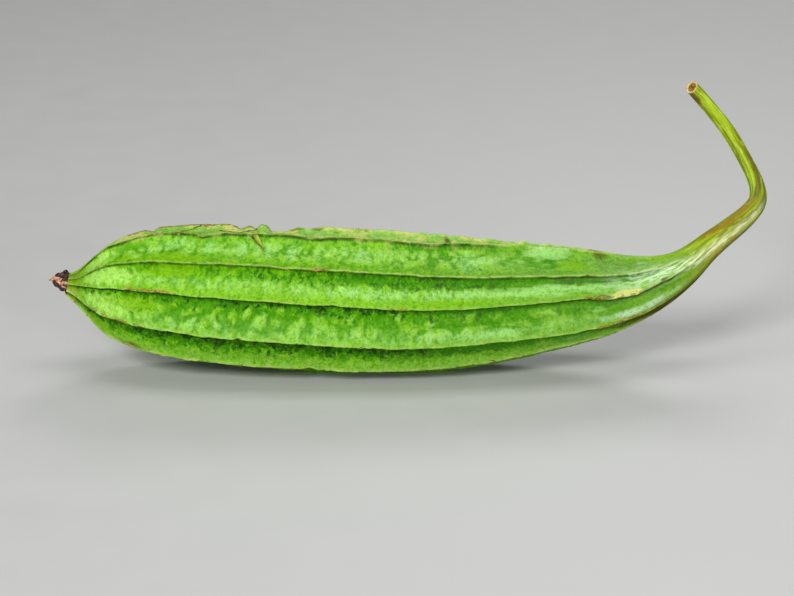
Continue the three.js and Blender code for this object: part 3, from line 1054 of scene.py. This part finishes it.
def build_flower():
    low, high = (np.array(corner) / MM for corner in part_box("dried_flower"))
    parts = [(*flower_clump(low, high), 0.0)]
    for seed, (*curl, dry) in enumerate(FLOWER_STRIPS):
        parts.append((*flower_strip(low, high, *curl, seed), dry))
    points, faces, dryness = [], [], []
    for part, part_faces, dry in parts:
        offset = len(dryness)
        faces.extend(tuple(offset + index for index in face) for face in part_faces)
        points.extend(part.tolist())
        dryness.extend([dry] * len(part))
    return mesh_object("flower", points, faces, flower_material(), {"dry": dryness})


def build_torn_strip(skin):
    """The sliver of ridge that was torn loose and hangs over the panel below."""
    rough = np.array([skin.at(x, around, lift) for x, around, lift, _ in TORN_STRIP])
    share = np.linspace(0, len(TORN_STRIP) - 1, 24)
    path = spline(rough, share)
    faces_to = path - skin.centres[FRUIT_ROWS // 3]
    widths = np.interp(share, range(len(TORN_STRIP)), [width for *_, width in TORN_STRIP])
    widths = widths * (1 + 0.12 * smooth_noise(share * 2, 0.5, 0.5))
    points, faces = ribbon(path, faces_to, widths, 0.4)
    edge = np.tile(-np.cos(RIBBON_TURNS), len(path))
    return mesh_object("torn_strip", points, faces, torn_strip_material(), {"edge": edge})


def build_gourd():
    skin = Skin()
    neck, last = FRUIT_ROWS - 1, len(skin.points) - 1
    blossom_end = skin.centres[0] + [1, 0, 0]
    tucked_in, tucked_out = skin.centres[neck - 3], skin.centres[neck + 3]
    fruit_skin, stem_skin = skin_material("gourd_skin", 0.05), skin_material("stem_skin", 0.15)
    fruit = skin_piece(skin, "fruit", 0, neck, (blossom_end, tucked_in), fruit_skin)
    stalk = skin_piece(skin, "stalk", neck, last, (tucked_out, skin.cut_middle), stem_skin)
    pieces = (
        (fruit, "ridged_fruit", "skin"),
        (stalk, "stem", "stem_skin"),
        (build_torn_strip(skin), "ridged_fruit", "skin"),
        (build_flower(), "dried_flower", "withered_flower"),
    )
    for piece, node, slot in pieces:
        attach(piece, "root")
        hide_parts(node)


# ---- floor, light and camera ----


def build_floor():
    bpy.ops.mesh.primitive_plane_add(size=12)
    floor = bpy.context.object
    floor.name = "floor"
    floor.data.materials.append(floor_material())
    floor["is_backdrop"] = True


def set_up(name, kit, location, target):
    """A light or camera in its place, aimed at the target."""
    holder = bpy.data.objects.new(name, kit)
    holder.location = location
    holder.rotation_euler = (Vector(target) - holder.location).to_track_quat("-Z", "Y").to_euler()
    bpy.context.collection.objects.link(holder)
    return holder


def light_scene():
    world = bpy.data.worlds.new("studio")
    world.use_nodes = True
    background = world.node_tree.nodes["Background"]
    background.inputs["Color"].default_value = (0.9, 0.92, 0.95, 1)
    background.inputs["Strength"].default_value = 0.1
    bpy.context.scene.world = world
    for name, location, target, size, power in SOFT_LIGHTS:
        lamp = bpy.data.lights.new(name, "AREA")
        lamp.shape = "RECTANGLE"
        lamp.size, lamp.size_y = size
        lamp.energy = power
        set_up(name, lamp, location, target)
    view = bpy.context.scene.view_settings
    view.view_transform = "Standard"
    view.look = "None"


def place_camera():
    low, high = (Vector(corner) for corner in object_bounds())
    target = (low + high) / 2 + Vector(CAMERA_AIM)
    lens = bpy.data.cameras.new("camera")
    lens.sensor_width = 36
    lens.lens = 121.5
    lens.clip_end = 30
    backward = Vector((0, -cos(CAMERA_ELEVATION), sin(CAMERA_ELEVATION)))
    location = target + CAMERA_DISTANCE * backward
    bpy.context.scene.camera = set_up("camera", lens, location, target)


place_camera()
build_gourd()
build_floor()
light_scene()
